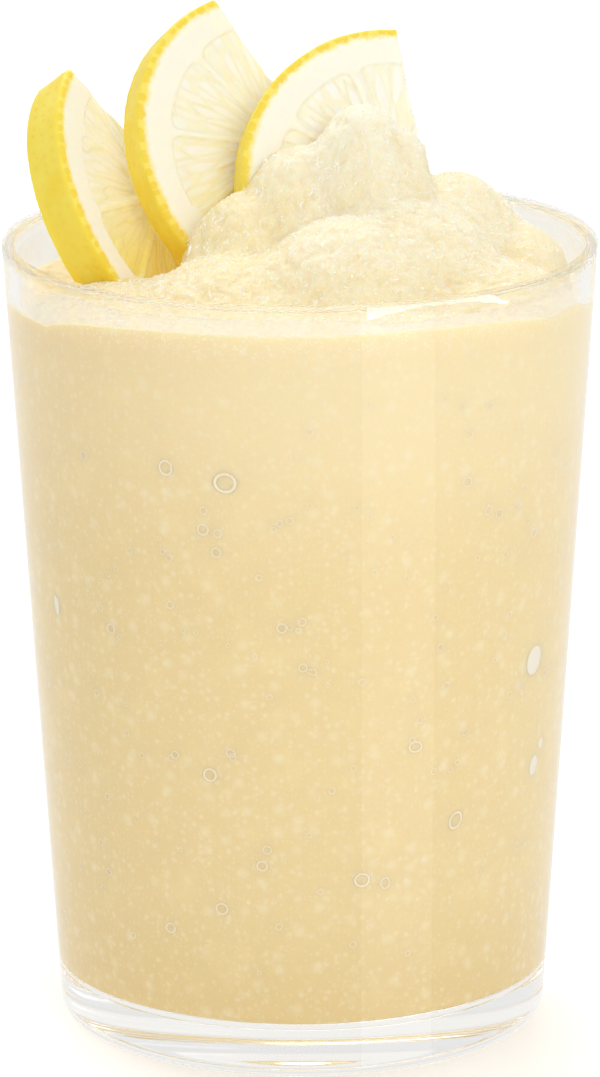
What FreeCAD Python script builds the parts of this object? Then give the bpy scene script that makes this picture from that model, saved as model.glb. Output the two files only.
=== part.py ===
"""Lemon granita heaped in a tapered glass tumbler, with three half slices of lemon.

Millimetres, +Z up.  The origin is the middle of the ring that the glass stands on.
"""
import FreeCAD, Part
import math
import os

Vector = FreeCAD.Vector
UP = Vector(0, 0, 1)

# ---- Glass ----
GLASS_HEIGHT = 122.0
RIM_RADIUS = 45.0           # outside, at the lip
FOOT_RADIUS = 37.0          # outside, the straight wall carried down to the table
RIM_WALL = 1.8              # thickness of the wall at the lip
FOOT_WALL = 2.4             # thickness of the wall down at the inside floor
FLOOR_THICKNESS = 7.2       # solid glass in the middle of the base, above the ring
HEEL_ROUND = 2.8            # outside edge between wall and base
FLOOR_ROUND = 2.5           # inside edge between wall and floor
RING_WIDTH = 4.0            # flat ring that the glass stands on
PUNT_DEPTH = 1.6            # hollow under the base, inside the ring

# ---- Granita ----
WALL_CLEARANCE = 0.2        # between the granita and the glass
FILL_DROP = 8.6             # from the lip down to the lowest slush, at the wall
BLEND = 1.1                 # softness of the joins between spoonfuls
SURFACE_STEP = 2.9          # spacing of the points that carry the heaped surface
SURFACE_MARGIN = 4.0        # how far the surface is carried past the wall

# ---- Lemon ----
LEMON_RADIUS = 25.0
CUT_OFFSET = 5.0            # the half slices are cut this far past the lemon's middle
SWELLS = 3                  # places round the fruit where the skin swells out
OUTLINE_POINTS = 24         # points that carry the skin's outline
PEEL_ROUND = 0.7            # edges of the peel
PEEL_AND_PITH = 5.6         # from the skin in to the flesh
SEGMENTS_IN_LEMON = 9
SEGMENT_GAP = 1.0           # membrane between two segments
SEGMENT_ROUND = 1.6         # corners of a segment
SEGMENT_DEPTH = 0.35        # the juicy flesh stands this far below its membranes
CORE_RADIUS = 2.4           # pale middle where the membranes meet
SLICE_CLEARANCE = 0.2       # between a slice and the granita round it


class Slice:
    """A half slice: how it is cut, where its front face is centred and how it stands.

    thickness  from the front face to the back
    taper      degrees that the skin draws in toward the back, the nearer end of the fruit
    swell      how far the skin swells out of round
    swell_at   degrees round from the tip, over the skin, to the first swelling
    from_wall  middle of the face, inward from the left wall at the lip, in lemon radii
    behind     middle of the face, behind the back of the slice before it, in lemon radii
    rise       middle of the face, above the lip, in lemon radii
    facing     degrees that the face is turned toward the right
    lean       degrees that the top leans back
    tip        degrees from level, in the face, of the upper end of the straight cut
    """

    def __init__(self, thickness, taper, swell, swell_at, from_wall, behind, rise, facing, lean, tip):
        self.thickness = thickness
        self.taper = taper
        self.swell = swell
        self.swell_at = swell_at
        self.from_wall = from_wall * LEMON_RADIUS
        self.behind = behind * LEMON_RADIUS
        self.rise = rise * LEMON_RADIUS
        self.facing = facing
        self.lean = lean
        self.tip = tip


# From the front one, on the right, to the back one, on the left.  The first one's
# distance behind is counted from the middle of the glass.
LEMON_SLICES = [
    Slice(
        thickness=6.5, taper=7, swell=0.15, swell_at=60,
        from_wall=2.33, behind=0.24, rise=0.225, facing=19.5, lean=24, tip=94.0,
    ),
    Slice(
        thickness=6.5, taper=7, swell=0.4, swell_at=27,
        from_wall=1.64, behind=0.04, rise=0.425, facing=31.0, lean=24, tip=117.0,
    ),
    Slice(
        thickness=7.5, taper=12, swell=0.5, swell_at=10,
        from_wall=0.885, behind=-0.24, rise=0.12, facing=63.5, lean=26, tip=125.5,
    ),
]


class Spoonful:
    """One rounded lump of the heap: a half ellipsoid standing on the slush below."""

    def __init__(self, x, y, top, length, width, turn=0.0):
        self.x = x
        self.y = y
        self.top = top              # above the lowest slush at the wall
        self.length = length        # half its extent along its own axis
        self.width = width          # half its extent across
        self.turn = math.radians(turn)

    def height(self, x, y):
        along = (x - self.x) * math.cos(self.turn) + (y - self.y) * math.sin(self.turn)
        across = (y - self.y) * math.cos(self.turn) - (x - self.x) * math.sin(self.turn)
        reach = math.hypot(along / self.length, across / self.width)
        if reach >= 1:
            return 0.0
        return self.top * (1 - reach ** 2) ** 0.75


HEAP = [
    Spoonful(x=9.5, y=1.0, top=28.0, length=13.5, width=15.0),                # the peak
    Spoonful(x=16.2, y=1.5, top=23.6, length=6.2, width=11.0),                # its steep right side
    Spoonful(x=0.5, y=-1.0, top=22.2, length=14.5, width=13.0, turn=10),      # its left flank
    Spoonful(x=-8.0, y=-4.5, top=15.8, length=11.0, width=12.0, turn=10),     # lower left flank
    Spoonful(x=23.0, y=5.0, top=16.8, length=13.5, width=15.0, turn=-15),     # right shoulder
    Spoonful(x=15.0, y=-7.0, top=15.5, length=18.0, width=16.0, turn=-10),    # right front
    Spoonful(x=7.0, y=-14.0, top=14.2, length=16.0, width=17.0, turn=25),     # front
    Spoonful(x=-8.0, y=-15.0, top=9.0, length=17.0, width=15.0, turn=20),     # left front
    Spoonful(x=33.6, y=2.5, top=9.0, length=8.0, width=11.0),                 # by the right wall
    Spoonful(x=27.0, y=-12.0, top=7.0, length=14.0, width=15.0, turn=-25),    # low, right front
    Spoonful(x=-25.0, y=-13.0, top=3.8, length=14.0, width=14.0, turn=20),    # by the left wall
    Spoonful(x=2.0, y=-34.0, top=3.6, length=46.0, width=22.0),               # along the front wall
    Spoonful(x=10.0, y=17.0, top=2.4, length=34.0, width=24.0),               # behind the slices
]


# ---- Where things lie ----
def outer_radius(z):
    """Outside radius of the straight wall at height z."""
    return FOOT_RADIUS + (RIM_RADIUS - FOOT_RADIUS) * z / GLASS_HEIGHT


def inner_radius(z):
    """Inside radius of the glass at height z."""
    share = (z - FLOOR_THICKNESS) / (GLASS_HEIGHT - FLOOR_THICKNESS)
    wall = FOOT_WALL + (RIM_WALL - FOOT_WALL) * share
    return outer_radius(z) - wall


def heap_height(x, y):
    """Top of the granita at (x, y): the spoonfuls blended into one surface."""
    total = 1.0
    for lump in HEAP:
        total += math.exp(lump.height(x, y) / BLEND) - 1.0
    return GLASS_HEIGHT - FILL_DROP + BLEND * math.log(total)


# ---- Glass ----
def glass_profile():
    """Half section of the tumbler, in the XZ plane."""
    floor_z = FLOOR_THICKNESS
    lip = RIM_WALL / 2
    foot = outer_radius(0) - HEEL_ROUND
    ring = foot - RING_WIDTH
    heel_diagonal = HEEL_ROUND * (1 - math.sqrt(0.5))
    heel_mid = Vector(outer_radius(HEEL_ROUND) - heel_diagonal, 0, heel_diagonal)
    punt_edge = Vector(ring, 0, 0)
    punt_top = Vector(0, 0, PUNT_DEPTH)
    punt_mid = Vector(ring * 0.6, 0, PUNT_DEPTH * 0.75)
    wall_foot = Vector(outer_radius(HEEL_ROUND), 0, HEEL_ROUND)
    wall_top = Vector(outer_radius(GLASS_HEIGHT - lip), 0, GLASS_HEIGHT - lip)
    lip_top = Vector(outer_radius(GLASS_HEIGHT) - lip, 0, GLASS_HEIGHT)
    inside_top = Vector(wall_top.x - RIM_WALL, 0, GLASS_HEIGHT - lip)
    floor_corner = inner_radius(floor_z)
    inside_foot = Vector(inner_radius(floor_z + FLOOR_ROUND), 0, floor_z + FLOOR_ROUND)
    floor_diagonal = FLOOR_ROUND * (1 - math.sqrt(0.5))
    floor_mid = Vector(floor_corner - floor_diagonal, 0, floor_z + floor_diagonal)
    floor_edge = Vector(floor_corner - FLOOR_ROUND, 0, floor_z)
    edges = [
        Part.Arc(punt_top, punt_mid, punt_edge).toShape(),
        Part.makeLine(punt_edge, Vector(foot, 0, 0)),
        Part.Arc(Vector(foot, 0, 0), heel_mid, wall_foot).toShape(),
        Part.makeLine(wall_foot, wall_top),
        Part.Arc(wall_top, lip_top, inside_top).toShape(),
        Part.makeLine(inside_top, inside_foot),
        Part.Arc(inside_foot, floor_mid, floor_edge).toShape(),
        Part.makeLine(floor_edge, Vector(0, 0, floor_z)),
        Part.makeLine(Vector(0, 0, floor_z), punt_top),
    ]
    return Part.Wire(edges)


def make_glass():
    return Part.Face(glass_profile()).revolve(Vector(0, 0, 0), UP, 360)


# ---- Lemon ----
def slice_depths():
    """How far the middle of each slice's face lies behind the middle of the glass."""
    depths = []
    back = 0.0
    for cut in LEMON_SLICES:
        depths.append(back + cut.behind)
        back = depths[-1] + cut.thickness
    return depths


def slice_placement(cut, depth):
    """Puts a slice drawn in XY, facing +Z, with its tip to +Y, where it stands."""
    facing = math.radians(cut.facing)
    lean = math.radians(cut.lean)
    level = Vector(math.cos(facing), math.sin(facing), 0)
    flat = Vector(math.sin(facing), -math.cos(facing), 0)
    normal = flat * math.cos(lean) + UP * math.sin(lean)
    turn = FreeCAD.Rotation(level, normal.cross(level), normal, "ZXY")
    spin = FreeCAD.Rotation(UP, cut.tip - 90)
    middle = Vector(cut.from_wall - inner_radius(GLASS_HEIGHT), depth, GLASS_HEIGHT + cut.rise)
    return FreeCAD.Placement(middle, turn * spin)


def skin_outline(cut, radius, z):
    """The fruit's outline at height z in a slice: nearly round, with a few swellings."""
    first = math.radians(90 + cut.swell_at)
    points = []
    for number in range(OUTLINE_POINTS):
        angle = 2 * math.pi * number / OUTLINE_POINTS
        reach = radius + cut.swell * math.cos(SWELLS * (angle - first))
        points.append(Vector(reach * math.cos(angle), reach * math.sin(angle), z))
    curve = Part.BSplineCurve()
    curve.interpolate(points, PeriodicFlag=True)
    return Part.Wire(curve.toShape())


def slice_blank(cut, grow=0.0):
    """The half slice without its segments, made larger all round by grow."""
    front = LEMON_RADIUS + grow
    back = front - cut.thickness * math.tan(math.radians(cut.taper))
    back_z = -cut.thickness - grow
    outlines = [skin_outline(cut, back, back_z), skin_outline(cut, front, grow)]
    disc = Part.makeLoft(outlines, True, True)
    disc = disc.makeFillet(PEEL_ROUND, rim_edges(disc))
    beyond = Part.makeBox(4 * front, 4 * front, cut.thickness + 2 * grow)
    beyond.translate(Vector(CUT_OFFSET + grow, -2 * front, back_z))
    return disc.cut(beyond)


def rim_edges(disc):
    """The two round edges of a disc, without the seam."""
    return [edge for edge in disc.Edges if len(edge.Vertexes) == 1]


def segment_outline(start, end):
    """One segment of flesh between two membranes: a wedge with rounded corners."""
    half_gap = SEGMENT_GAP / 2 + SEGMENT_ROUND
    outer = LEMON_RADIUS - PEEL_AND_PITH - SEGMENT_ROUND
    middle = (start + end) / 2
    inner = max(CORE_RADIUS, half_gap / math.sin((end - start) / 2))
    swing = math.asin(half_gap / outer)
    corner = Vector(inner * math.cos(middle), inner * math.sin(middle), 0)
    first = Vector(outer * math.cos(start + swing), outer * math.sin(start + swing), 0)
    top = Vector(outer * math.cos(middle), outer * math.sin(middle), 0)
    last = Vector(outer * math.cos(end - swing), outer * math.sin(end - swing), 0)
    wire = Part.Wire([
        Part.makeLine(corner, first),
        Part.Arc(first, top, last).toShape(),
        Part.makeLine(last, corner),
    ])
    return wire.makeOffset2D(SEGMENT_ROUND, join=0)


def segment_hollows(cut):
    """The segments' shallow hollows, sunk into the front and the back of a slice."""
    pitch = 2 * math.pi / SEGMENTS_IN_LEMON
    hollows = []
    for number in range(SEGMENTS_IN_LEMON):
        start = (number + 0.5) * pitch
        face = Part.Face(segment_outline(start, start + pitch))
        front = face.extrude(Vector(0, 0, 2 * SEGMENT_DEPTH))
        front.translate(Vector(0, 0, -SEGMENT_DEPTH))
        back = front.translated(Vector(0, 0, -cut.thickness))
        hollows += [front, back]
    return hollows


def make_slice(cut):
    return slice_blank(cut).cut(Part.Compound(segment_hollows(cut)))


# ---- Granita ----
def heap_surface():
    """The heap's top as one smooth surface through points on a square grid."""
    half = RIM_RADIUS + SURFACE_MARGIN
    count = math.ceil(2 * half / SURFACE_STEP) + 1
    step = 2 * half / (count - 1)
    rows = []
    for i in range(count):
        x = i * step - half
        rows.append([Vector(x, j * step - half, heap_height(x, j * step - half)) for j in range(count)])
    surface = Part.BSplineSurface()
    surface.interpolate(rows)
    return surface.toShape()


def make_granita(blanks):
    """Everything inside the glass, up to the heaped surface, cut round the slices."""
    floor_z = FLOOR_THICKNESS + WALL_CLEARANCE
    peak = max(lump.top for lump in HEAP)
    top = GLASS_HEIGHT - FILL_DROP + peak + SURFACE_MARGIN
    column = Part.makeCone(
        inner_radius(floor_z) - WALL_CLEARANCE,
        inner_radius(top) - WALL_CLEARANCE,
        top - floor_z,
        Vector(0, 0, floor_z),
    )
    floor_rim = [edge for edge in rim_edges(column) if edge.CenterOfMass.z < floor_z + 1]
    column = column.makeFillet(FLOOR_ROUND, floor_rim)
    below = heap_surface().extrude(Vector(0, 0, -top))
    return column.common(below).cut(Part.Compound(blanks))


# ---- The whole ----
def main():
    os.makedirs("parts", exist_ok=True)
    nodes = {"glass": make_glass()}
    blanks = []
    for number, (cut, depth) in enumerate(zip(LEMON_SLICES, slice_depths()), start=1):
        lemon = make_slice(cut)
        blank = slice_blank(cut, SLICE_CLEARANCE)
        lemon.Placement = slice_placement(cut, depth)
        blank.Placement = lemon.Placement
        nodes[f"lemon_slice_{number}"] = lemon
        blanks.append(blank)
    nodes["granita"] = make_granita(blanks)
    for name, shape in nodes.items():
        shape.exportStep(f"parts/{name}.step")


main()
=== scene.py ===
"""The looks of a lemon granita heaped in a glass tumbler with three half slices of lemon.

Every piece is built in the frame's own metres.  Lengths named in millimetres here are
multiplied by MM where they become geometry.
"""
import math

import bmesh
import bpy
import numpy as np
from bpy.props import FloatProperty, FloatVectorProperty, IntProperty, PointerProperty
from mathutils import Matrix, Vector, kdtree, noise


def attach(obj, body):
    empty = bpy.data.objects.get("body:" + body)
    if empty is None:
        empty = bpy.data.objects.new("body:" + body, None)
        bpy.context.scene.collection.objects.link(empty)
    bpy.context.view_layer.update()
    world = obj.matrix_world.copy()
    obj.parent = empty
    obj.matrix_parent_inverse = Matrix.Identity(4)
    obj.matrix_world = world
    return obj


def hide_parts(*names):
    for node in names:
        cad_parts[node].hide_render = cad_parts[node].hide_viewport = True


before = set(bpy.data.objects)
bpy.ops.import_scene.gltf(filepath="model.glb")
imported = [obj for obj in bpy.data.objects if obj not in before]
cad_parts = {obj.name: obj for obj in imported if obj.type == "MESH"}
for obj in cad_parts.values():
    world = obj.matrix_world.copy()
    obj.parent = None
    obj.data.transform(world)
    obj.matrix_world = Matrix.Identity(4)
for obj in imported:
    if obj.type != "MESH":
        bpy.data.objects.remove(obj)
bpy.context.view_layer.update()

MM = 0.001

bl_info = {
    "name": "Lemon Granita",
    "version": (1, 0, 0),
    "blender": (4, 5, 0),
    "location": "3D View > Sidebar > Granita",
    "description": "Glass tumbler heaped with lemon granita and half slices of lemon",
    "category": "Mesh",
}


def paint(red, green, blue):
    """A colour given in the usual 0 to 255 steps, as the linear values Blender keeps."""
    shares = (red / 255, green / 255, blue / 255)
    return tuple(v / 12.92 if v <= 0.04045 else ((v + 0.055) / 1.055) ** 2.4 for v in shares)


def length(name, description, default_mm):
    """A length setting, given in millimetres and kept in metres."""
    return FloatProperty(
        name=name, description=description, default=default_mm * MM, unit="LENGTH", precision=5
    )


def plain(name, description, default, **limits):
    """A plain number."""
    return FloatProperty(name=name, description=description, default=default, **limits)


def whole(name, description, default, **limits):
    """A whole number."""
    return IntProperty(name=name, description=description, default=default, **limits)


def colour(name, description, red, green, blue):
    """A colour setting."""
    return FloatVectorProperty(
        name=name, description=description, default=paint(red, green, blue), subtype="COLOR", min=0.0, max=1.0
    )


# ---- Sizes, in millimetres ----
GLASS_HEIGHT = 122.0
RIM_RADIUS = 45.0           # outside, at the lip
FOOT_RADIUS = 37.0          # outside, the straight wall carried down to the table
RIM_WALL = 1.8
FLOOR_WALL = 2.4            # thickness of the wall down at the inside floor
FLOOR_HEIGHT = 7.2          # top of the solid glass base
FILL_DROP = 8.6             # from the lip down to the lowest slush, at the wall
OPEN_FROM = 112.0           # above this the granita's surface lies open
STREWN_FROM = 113.5         # loose ice lies above this
BLEND = 1.1                 # softness of the joins between spoonfuls
NET = 49                    # threads each way of the net that evens out the heap's cells
NET_TURNS = 1500
NET_PULL = 0.4              # how much of its way each knot goes in one turn
LEMON_RADIUS = 25.0
CUT_OFFSET = 5.0            # the half slices are cut this far past the lemon's middle
FLESH_RADIUS = 19.4         # the peel and the pith lie outside it
SEGMENT_PITCH = 40.0        # degrees from one membrane to the next
SEGMENT_GAP = 0.5           # visible membrane between two segments
SEGMENT_ROUND = 1.6         # corners of a segment
VESICLE_DEPTH = 2.6         # of one layer of juice vesicles
VESICLE_ROWS = 6            # from the core out to the pith
VESICLE_LAYERS = (-4, 2)    # through the thickness of a slice
VESICLE_STEP = 0.22         # how far one vesicle may stand proud of the next
MEMBRANE_DROP = 0.04        # how far membranes, and flesh on the straight cut, lie back
PITH_FIBRE = 1.2            # length of the pith's roughness
PITH_RELIEF = 0.07
SKIN_WAVE = 6.0             # length of the skin's waves
SKIN_RELIEF = 0.2
SKIN_DROP = 0.08            # how far the skin lies back, so that its waves stay within the slice
GLAND_REACH = 3.0           # no oil gland reaches deeper into the peel
RING_ROUND = 0.1            # round of a bubble's edge, for a bubble one unit wide
MIRRORED_AT_LIP = 320.0     # how far from the wall the floor lies that the lip mirrors
DIAGONAL = 1 - math.sqrt(0.5)   # from a corner in to its quarter round, as a share of the radius
TURNED_STEPS = 180          # facets round what is turned on the lathe


# ---- Settings ----
class GRANITA_PG_glass(bpy.types.PropertyGroup):
    """Sizes and finish of the tumbler."""

    height: length("Height", "From the table to the lip", GLASS_HEIGHT)
    rim_radius: length("Rim radius", "Outside, at the lip", RIM_RADIUS)
    foot_radius: length("Foot radius", "Outside, the straight wall carried down to the table", FOOT_RADIUS)
    rim_wall: length("Wall at the lip", "Thickness of the wall at the lip", RIM_WALL)
    floor: length("Floor height", "Top of the solid glass base", FLOOR_HEIGHT)
    heel_round: length("Heel", "Radius of the outside edge under the wall", 2.8)
    floor_round: length("Inside corner", "Radius between the wall and the floor inside", 2.5)
    ring_width: length("Standing ring", "Width of the flat ring that the glass stands on", 4.0)
    punt_depth: length("Punt", "Depth of the hollow under the base", 1.6)
    steps: whole("Steps", "Facets round the glass", TURNED_STEPS, min=48, max=360)
    colour: colour("Glass", "Tint of the clear glass", 254, 254, 253)


class GRANITA_PG_granita(bpy.types.PropertyGroup):
    """Surface and colours of the granita."""

    cells: whole("Cells", "Cells across the heap's surface", 282, min=60, max=290)
    wall_reach: length("Wall reach", "How far the granita reaches into the glass, so no gap shows", 0.12)
    floor_gap: length("Floor gap", "Film under the granita that keeps the base bright", 0.06)
    lump_size: length("Lump size", "Size of the soft lumps left by the scoop", 5.2)
    lump_relief: length("Lump relief", "Height of the soft lumps", 1.2)
    crumb_size: length("Crumb size", "Size of the clumped ice", 1.5)
    crumb_relief: length("Crumb relief", "Height of the clumped ice", 0.6)
    grain_size: length("Grain size", "Size of the single ice grains", 0.55)
    grain_relief: length("Grain relief", "Height of the single ice grains", 0.34)
    pale: colour("Drained ice", "Drained ice over the lip", 250, 236, 206)
    crest: colour("Crest", "The palest ice, at the top of the heap", 253, 244, 225)
    body: colour("Body", "The granita's own colour", 247, 227, 182)
    # Partly syrup, partly painted shade: this yellower colour goes into random patches, into the hollows and
    # onto the left of the heap.
    syrup_and_shade: colour("Syrup", "Where juice gathers in the hollows", 248, 227, 172)
    # Partly juicier granita, partly painted shade: this darker colour lies low in the glass.
    deep: colour("Lower body", "The juicier granita low in the glass", 239, 217, 163)
    lemon: colour("Lemon juice", "Juice running from the slices into the ice", 245, 220, 120)
    film: colour("Melt", "Pale melt along the wall", 243, 226, 188)
    # Partly pale crystals, partly painted glints: white flecks on the open heap.
    crystal_and_glint: colour("Crystals", "Single white crystals in the heap", 254, 249, 236)
    # Painted shade, partly settled juice: this darker colour lies towards the bottom and towards the left,
    # away from the softbox.
    settled_juice_and_shade: colour("Settled", "Juice that has sunk to the bottom", 232, 206, 144)
    bubble: colour("Bubble", "Air bubbles lying behind the wall", 250, 236, 203)


class GRANITA_PG_ice(bpy.types.PropertyGroup):
    """Loose ice on the heap."""

    grains: whole("Grains", "Loose grains on the heap", 3800, min=0, max=9000)
    grain_size: length("Grain", "Typical width of a loose grain", 0.26)
    # The slivers are white ice, partly painted glints on the heap.
    slivers: whole("Slivers", "Curved slivers of clear ice", 1000, min=0, max=1500)
    sliver_size: length("Sliver", "Typical length of a sliver", 1.0)
    # Partly painted highlight: the white of the loose ice stands in for glints.
    colour: colour("Ice", "White ice", 255, 254, 248)
    wet_colour: colour("Wet ice", "Ice with juice on it", 254, 247, 226)


class GRANITA_PG_veil(bpy.types.PropertyGroup):
    """Thin melt left on the wall over the granita."""

    bottom: length("Bottom", "Height of its lower edge, under the granita's edge", 111.0)
    top: length("Top", "Height of its upper edge", 118.6)
    wave: length("Wave", "How far the upper edge rises and falls", 0.8)
    clearance: length("Clearance", "Gap to the wall", 0.02)
    thickness: length("Thickness", "Thickness of the melt", 0.06)
    share: plain("Share", "How much each side of it hides of what lies behind", 0.2, min=0, max=1)
    colour: colour("Melt", "Cloudy melt", 254, 246, 228)


class GRANITA_PG_bubbles(bpy.types.PropertyGroup):
    """Air lying against the inside of the glass."""

    rings: whole("Small rings", "Small bubbles all round the wall", 330, min=0)
    ring_size: length("Ring", "Typical width of a small bubble", 0.85)
    line: length("Ring line", "Thickness of a bubble's pale edge", 0.12)
    colour: colour("Air", "The pale edge of a bubble", 250, 236, 203)
    pocket_colour: colour("Air pocket", "A larger pocket of air on the wall", 242, 234, 216)


class GRANITA_PG_lemon(bpy.types.PropertyGroup):
    """Cut and colours of the lemon slices."""

    voxel: length("Detail", "Size of the finest shape on a slice", 0.25)
    vesicle: length("Vesicle width", "Width of a juice vesicle near the pith", 1.75)
    vesicle_length: length("Vesicle length", "Length of a juice vesicle", 6.4)
    vesicle_relief: length("Vesicle relief", "How far vesicles stand proud of the lines between them", 0.13)
    gland_spacing: length("Gland spacing", "Distance between the oil glands in the peel", 1.85)
    pore_depth: length("Pore depth", "Depth of the pore over each gland", 0.1)
    skin: colour("Skin", "Outside of the peel", 248, 221, 74)
    skin_light: colour("Light skin", "Paler patches of the skin", 251, 229, 96)
    peel: colour("Peel", "Cut peel between the glands", 250, 227, 108)
    gland: colour("Gland", "Oil glands in the cut peel", 243, 215, 76)
    pith: colour("Pith", "White pith", 255, 250, 231)
    flesh: colour("Flesh", "Juice vesicles", 255, 252, 239)
    # Partly juice, partly painted shade: the colour of flesh and pith low on the slices, by the granita.
    soaked_and_shaded: colour("Soaked flesh", "Flesh that stands in the granita's juice", 245, 229, 122)
    flesh_deep: colour("Deep flesh", "Denser vesicles and the lines between them", 254, 247, 219)


class GRANITA_PG_stage(bpy.types.PropertyGroup):
    """Light, floor and camera."""

    daylight: plain("Room light", "Strength of the even light", 0.955, min=0.0)
    key: plain("Softbox", "Power of the softbox on the right", 4.5, unit="POWER")
    top: plain("Top light", "Power of the light above and behind", 6.0, unit="POWER")
    floor: colour("Floor", "Colour of the floor", 244, 244, 244)
    bounces: whole("Bounces", "How often light may turn inside the clear glass", 64, min=4)
    soft_bounces: whole("Soft bounces", "How often light may scatter from matt surfaces", 10, min=4)
    distance: length("Camera distance", "From the camera to the point it looks at", 1200.0)
    elevation: plain("Camera elevation", "Above the horizon", math.radians(15.09), subtype="ANGLE")
    roll: plain("Camera roll", "Turn about the line of sight", math.radians(-0.209), subtype="ANGLE")
    aim: FloatVectorProperty(
        name="Aim", description="Point the camera looks at", default=(-0.000137, 0.0, 0.0744), subtype="XYZ"
    )
    lens: plain("Lens", "Focal length", 263.5, unit="CAMERA")


class Spoonful:
    """One rounded lump of the heap: a half ellipsoid standing on the slush below."""

    def __init__(self, x, y, top, length, width, turn=0.0):
        self.x = x
        self.y = y
        self.top = top              # above the lowest slush at the wall
        self.length = length        # half its extent along its own axis
        self.width = width          # half its extent across
        self.turn = math.radians(turn)

    def height(self, x, y):
        along = (x - self.x) * math.cos(self.turn) + (y - self.y) * math.sin(self.turn)
        across = (y - self.y) * math.cos(self.turn) - (x - self.x) * math.sin(self.turn)
        reach = (along / self.length) ** 2 + (across / self.width) ** 2
        return self.top * np.clip(1 - reach, 0, None) ** 0.75


HEAP = [
    Spoonful(x=9.5, y=1.0, top=28.0, length=13.5, width=15.0),                # the peak
    Spoonful(x=16.2, y=1.5, top=23.6, length=6.2, width=11.0),                # its steep right side
    Spoonful(x=0.5, y=-1.0, top=22.2, length=14.5, width=13.0, turn=10),      # its left flank
    Spoonful(x=-8.0, y=-4.5, top=15.8, length=11.0, width=12.0, turn=10),     # lower left flank
    Spoonful(x=23.0, y=5.0, top=16.8, length=13.5, width=15.0, turn=-15),     # right shoulder
    Spoonful(x=15.0, y=-7.0, top=15.5, length=18.0, width=16.0, turn=-10),    # right front
    Spoonful(x=7.0, y=-14.0, top=14.2, length=16.0, width=17.0, turn=25),     # front
    Spoonful(x=-8.0, y=-15.0, top=9.0, length=17.0, width=15.0, turn=20),     # left front
    Spoonful(x=33.6, y=2.5, top=9.0, length=8.0, width=11.0),                 # by the right wall
    Spoonful(x=27.0, y=-12.0, top=7.0, length=14.0, width=15.0, turn=-25),    # low, right front
    Spoonful(x=-25.0, y=-13.0, top=3.8, length=14.0, width=14.0, turn=20),    # by the left wall
    Spoonful(x=2.0, y=-34.0, top=3.6, length=46.0, width=22.0),               # along the front wall
    Spoonful(x=10.0, y=17.0, top=2.4, length=34.0, width=24.0),               # behind the slices
]


class HalfSlice:
    """A half slice of lemon: how it is cut, and how its front face stands.

    thickness  from the front face to the back
    taper      degrees that the skin draws in toward the back
    swell      how far the skin swells out of round
    swell_at   degrees round from the tip, over the skin, to the first swelling
    middle     centre of the front face
    facing     degrees that the face is turned toward the right
    lean       degrees that the top leans back
    tip        degrees from level, in the face, of the upper end of the straight cut
    """

    def __init__(self, node, thickness, taper, swell, swell_at, middle, facing, lean, tip):
        self.node = node
        self.thickness = thickness
        self.taper = math.radians(taper)
        self.swell = swell
        self.first_swell = math.radians(90 + swell_at)
        self.middle = Vector(middle)
        facing = math.radians(facing)
        lean = math.radians(lean)
        spin = math.radians(tip - 90)
        level = Vector((math.cos(facing), math.sin(facing), 0))
        flat = Vector((math.sin(facing), -math.cos(facing), 0))
        self.out = flat * math.cos(lean) + Vector((0, 0, 1)) * math.sin(lean)
        rise = self.out.cross(level)
        self.across = level * math.cos(spin) + rise * math.sin(spin)
        self.along = rise * math.cos(spin) - level * math.sin(spin)

    def local(self, points):
        """Points in metres, as millimetres toward the cut, toward the tip and out of the face."""
        axes = np.array([self.across, self.along, self.out]).T
        return (points / MM - np.array(self.middle)) @ axes

    def skin_radius(self, angle, z):
        swell = self.swell * np.cos(3 * (angle - self.first_swell))
        return LEMON_RADIUS + z * math.tan(self.taper) + swell


LEMON_SLICES = [
    HalfSlice(
        "lemon_slice_1", thickness=6.5, taper=7, swell=0.15, swell_at=60,
        middle=(15.05, 6.0, 127.625), facing=19.5, lean=24, tip=94.0,
    ),
    HalfSlice(
        "lemon_slice_2", thickness=6.5, taper=7, swell=0.4, swell_at=27,
        middle=(-2.2, 13.5, 132.625), facing=31.0, lean=24, tip=117.0,
    ),
    HalfSlice(
        "lemon_slice_3", thickness=7.5, taper=12, swell=0.5, swell_at=10,
        middle=(-21.075, 14.0, 125.0), facing=63.5, lean=26, tip=125.5,
    ),
]


class Bubble:
    """A bubble on the wall: degrees round from the front, height and width in millimetres."""

    def __init__(self, around, height, width, tall=1.0, lean=0.0):
        self.around = math.radians(around)
        self.height = height
        self.width = width
        self.tall = tall            # height over width
        self.lean = math.radians(lean)


LARGE_RINGS = [
    Bubble(-28.2, 95.3, 2.0, tall=1.1),
    Bubble(-15.4, 93.8, 3.1, tall=0.9),
    Bubble(-20.4, 86.3, 1.6),
    Bubble(-17.2, 85.9, 1.2),
    Bubble(-17.7, 82.9, 1.4),
    Bubble(-28.5, 74.0, 1.1),
    Bubble(-4.1, 71.6, 1.4),
    Bubble(-20.6, 47.9, 1.9),
    Bubble(-9.1, 34.0, 1.5),
    Bubble(-18.8, 26.7, 1.7),
    Bubble(-32.1, 22.5, 1.5),
    Bubble(36.8, 39.0, 2.0, tall=1.3, lean=30),
    Bubble(13.7, 31.5, 2.2, tall=0.9),
    Bubble(19.2, 30.7, 1.4, tall=1.2),
    Bubble(25.6, 51.8, 2.0, tall=0.8),
]
AIR_POCKETS = [
    Bubble(-64.0, 69.1, 1.7, tall=2.0, lean=-8),
    Bubble(60.5, 60.8, 4.1, tall=1.25, lean=12),
    Bubble(63.5, 43.6, 2.5, tall=1.4, lean=14),
    Bubble(66.5, 46.6, 1.6, tall=1.2, lean=-6),
    Bubble(-140.0, 84.0, 2.2, tall=1.7, lean=10),
    Bubble(152.0, 52.0, 2.0, tall=1.8, lean=-12),
]


def outer_radius(z):
    """Outside radius of the glass at height z."""
    return FOOT_RADIUS + (RIM_RADIUS - FOOT_RADIUS) * z / GLASS_HEIGHT


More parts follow.
